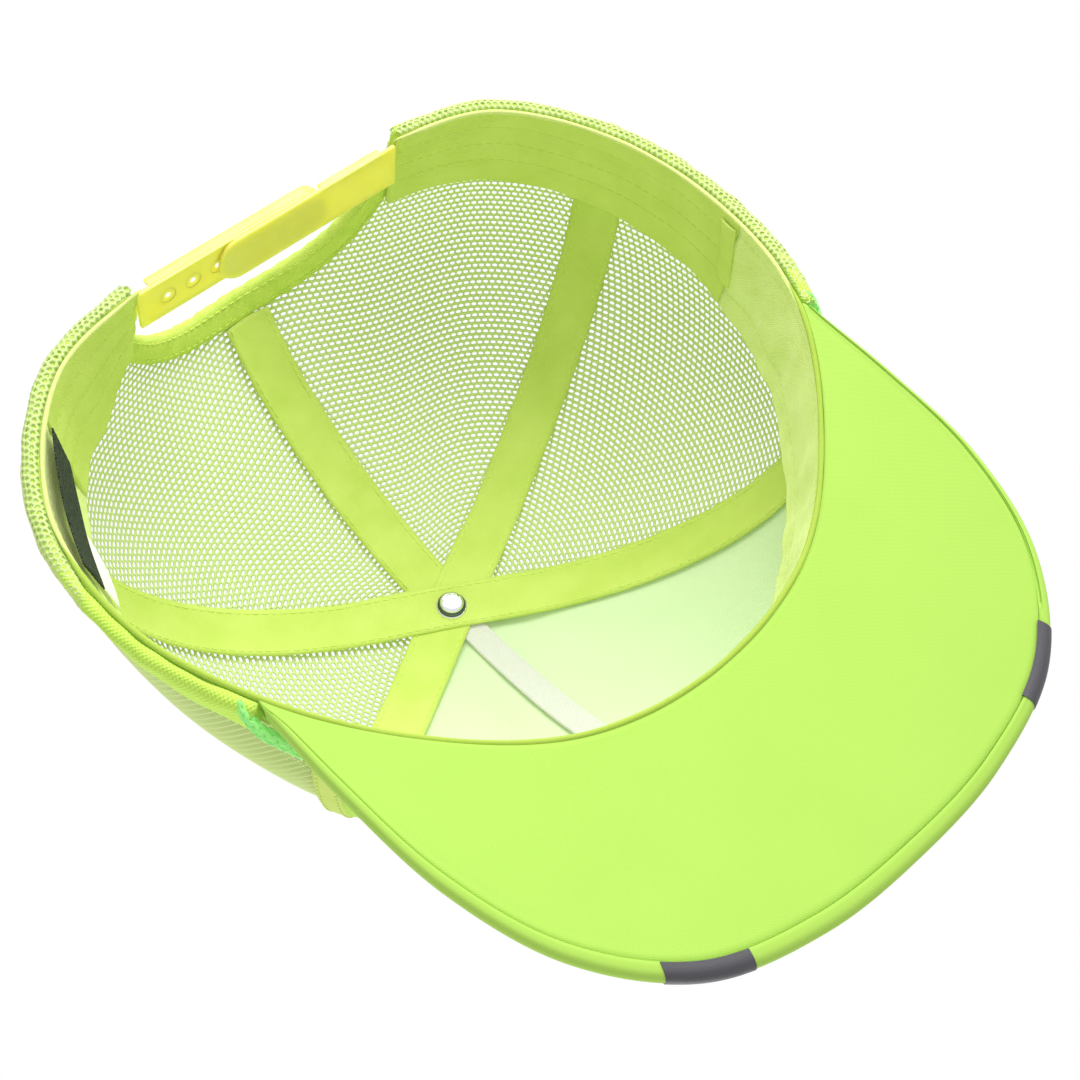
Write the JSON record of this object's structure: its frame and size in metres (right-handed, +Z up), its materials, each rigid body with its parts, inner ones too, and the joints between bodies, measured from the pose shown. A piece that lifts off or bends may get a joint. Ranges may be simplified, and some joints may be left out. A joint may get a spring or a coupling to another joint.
{
  "type": "bump cap",
  "caption": "Soft high-visibility cap with mesh sides and rear, a flat visor with a rope and reflective tabs, and an adjustable snap strap.",
  "frame": {"origin": "middle of the bottom of the cap's box, on the surface that it stands on", "axes": "+Z up towards the crown button, -Y towards the visor, +X towards the wearer's left"},
  "size_m": [0.2082, 0.2446, 0.1084],
  "materials": {
    "crown_fabric": "plain-woven polyester, fluorescent yellow-green",
    "crown_mesh": "warp-knitted polyester mesh, open diamond holes",
    "seam_tape": "woven bias tape, matt",
    "panel_backing": "white fused backing",
    "seam_strip": "white non-woven strip",
    "sweatband_front": "soft brushed cotton, creased",
    "sweatband_rear": "cotton twill, topstitched",
    "visor_fabric": "smooth woven polyester",
    "visor_board": "moulded polyethylene sheet",
    "rope": "braided polyester cord",
    "reflective_tape": "grey retro-reflective woven tape",
    "strap_plastic": "moulded translucent yellow plastic",
    "woven_label": "dark woven label, blank",
    "care_label": "white satin ribbon, blank",
    "rivet_metal": "polished nickel plate"
  },
  "bodies": {
    "crown": {"front_panel_left": "crown_fabric", "front_panel_right": "crown_fabric", "front_backing_left": "panel_backing", "front_backing_right": "panel_backing", "side_mesh_left": "crown_mesh", "side_mesh_right": "crown_mesh", "rear_mesh_left": "crown_mesh", "rear_mesh_right": "crown_mesh", "side_rear_tape_left": "seam_tape", "side_rear_tape_right": "seam_tape", "front_side_tape_left": "seam_tape", "front_side_tape_right": "seam_tape", "rear_tape": "seam_tape", "front_seam_strip": "seam_strip", "rear_arch_binding": "crown_fabric", "sweatband_front": "sweatband_front", "sweatband_rear_left": "sweatband_rear", "sweatband_rear_right": "sweatband_rear", "brand_label": "woven_label", "care_label": "care_label", "visor_board": "visor_board", "visor_under_cover": "visor_fabric", "visor_top_cover": "visor_fabric", "visor_tab_left": "reflective_tape", "visor_tab_right": "reflective_tape", "visor_rope": "rope", "crown_button": "crown_fabric", "button_rivet": "rivet_metal"},
    "strap_left": {"snap_strap_left": "strap_plastic"},
    "strap_right": {"snap_strap_right": "strap_plastic"}
  },
  "joints": [
    {"name": "snap_strap_left_hinge", "type": "hinge", "parent": "crown", "child": "strap_left", "pos_m": [0.0456, 0.102, 0.0074], "axis": [0, 0, 1], "range_deg": [-60, 0]},
    {"name": "snap_strap_right_hinge", "type": "hinge", "parent": "crown", "child": "strap_right", "pos_m": [-0.036, 0.1004, 0.0074], "axis": [0, 0, 1], "range_deg": [-45, 0]}
  ]
}
